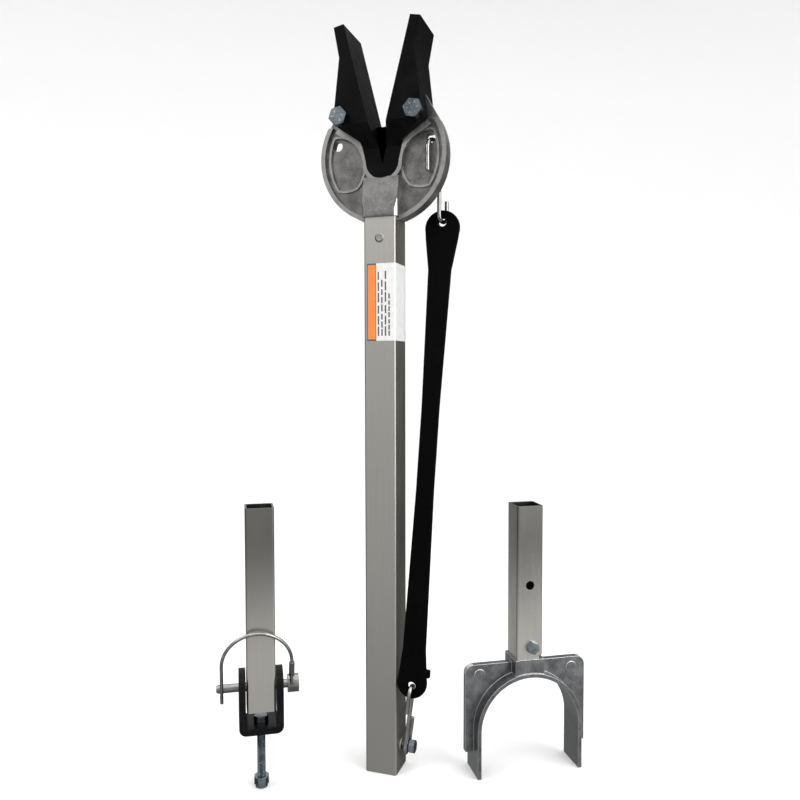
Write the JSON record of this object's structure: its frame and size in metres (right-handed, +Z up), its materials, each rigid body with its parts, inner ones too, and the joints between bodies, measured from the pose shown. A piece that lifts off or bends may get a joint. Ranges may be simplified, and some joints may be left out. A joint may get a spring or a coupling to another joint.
{
  "type": "outboard motor support bar kit",
  "caption": "Square support bar with a rubber V head, rubber strap and S hooks, with a pinned frame bracket and a roller yoke as loose lower ends.",
  "frame": {"origin": "centre of the outer tube's open lower end", "axes": "+Z up the tube to the V head, +X to the side that the strap hangs on, -Y to the front with the label"},
  "size_m": [0.3858, 0.2268, 0.862],
  "materials": {
    "satin_tube": "satin mill finish",
    "bright_tube": "brushed mill finish",
    "cast_aluminium": "as cast, sanded edges",
    "dark_casting": "as cast, dark, bright edges",
    "black_rubber": "moulded, matte",
    "strap_rubber": "moulded, matte",
    "zinc_plate": "zinc plated",
    "zinc_wire": "zinc plated wire",
    "insert_steel": "plated",
    "pin_steel": "plated steel",
    "black_paint": "gloss black powder coat",
    "nylon": "translucent nylon",
    "label_film": "printed film"
  },
  "bodies": {
    "bar": {"outer_tube": "satin_tube", "head_casting": "cast_aluminium", "v_block": "black_rubber", "jaw_bolts": "zinc_plate", "jaw_nuts": "zinc_plate", "jaw_nut_inserts": "nylon", "head_rivet": "satin_tube", "label": "label_film", "upper_s_hook": "zinc_wire", "strap": "strap_rubber", "set_bolt_insert": "insert_steel"},
    "lower_hook": {"lower_s_hook": "zinc_wire"},
    "set_bolt": {"set_bolt": "zinc_plate"},
    "bracket_tube": {"bracket_tube": "bright_tube"},
    "lock_pin": {"lock_pin": "pin_steel"},
    "bail": {"wire_bail": "zinc_wire", "bail_ferrule": "pin_steel"},
    "bracket": {"pivot_bracket": "black_paint", "bracket_bolt": "zinc_plate"},
    "washer": {"bracket_washer": "zinc_plate"},
    "lock_nut": {"bracket_nut": "zinc_plate", "bracket_nut_insert": "nylon"},
    "yoke": {"yoke_tube": "bright_tube", "roller_yoke": "dark_casting", "yoke_bolt": "zinc_plate", "yoke_nut": "zinc_plate", "yoke_nut_insert": "nylon"}
  },
  "joints": [
    {"name": "strap_stretch", "type": "slide", "parent": "bar", "child": "lower_hook", "axis": [-0.1392, 0, -0.9903], "range_m": [0, 0.015], "stiffness_N_per_m": 1200, "springref_m": -0.02, "deforming": ["strap"]},
    {"name": "set_bolt_turn", "type": "hinge", "parent": "bar", "child": "set_bolt", "pos_m": [0.0299, 0, 0.0281], "axis": [1, 0, 0], "continuous": true},
    {"name": "bracket_lift", "type": "slide", "parent": "bar", "child": "bracket_tube", "axis": [0, 0, 1], "range_m": [0, 0.15]},
    {"name": "lock_pin_pull", "type": "slide", "parent": "bracket_tube", "child": "lock_pin", "axis": [0.8572, 0.515, 0], "range_m": [0, 0.075]},
    {"name": "bail_swing", "type": "hinge", "parent": "lock_pin", "child": "bail", "pos_m": [-0.08704, -0.07483, 0.1155], "axis": [0.1246, -0.2074, 0.9703], "range_deg": [0, 90]},
    {"name": "bracket_pivot", "type": "hinge", "parent": "bracket_tube", "child": "bracket", "pos_m": [-0.12, -0.086, 0.1155], "axis": [0.8572, 0.515, 0], "range_deg": [-90, 90]},
    {"name": "nut_travel", "type": "slide", "parent": "bracket", "child": "washer", "axis": [0, 0, 1], "range_m": [0, 0.03175]},
    {"name": "nut_turn", "type": "hinge", "parent": "washer", "child": "lock_nut", "pos_m": [-0.12, -0.086, 0.005], "axis": [0, 0, 1], "range_deg": [0, 7200]},
    {"name": "yoke_lift", "type": "slide", "parent": "bar", "child": "yoke", "axis": [0, 0, 1], "range_m": [0, 0.15]}
  ],
  "couplings": [
    {"joint": "bail_swing", "follows": "lock_pin_pull", "rad_per_m": 20.942},
    {"joint": "nut_travel", "follows": "nut_turn", "m_per_rad": 0.00025266}
  ]
}
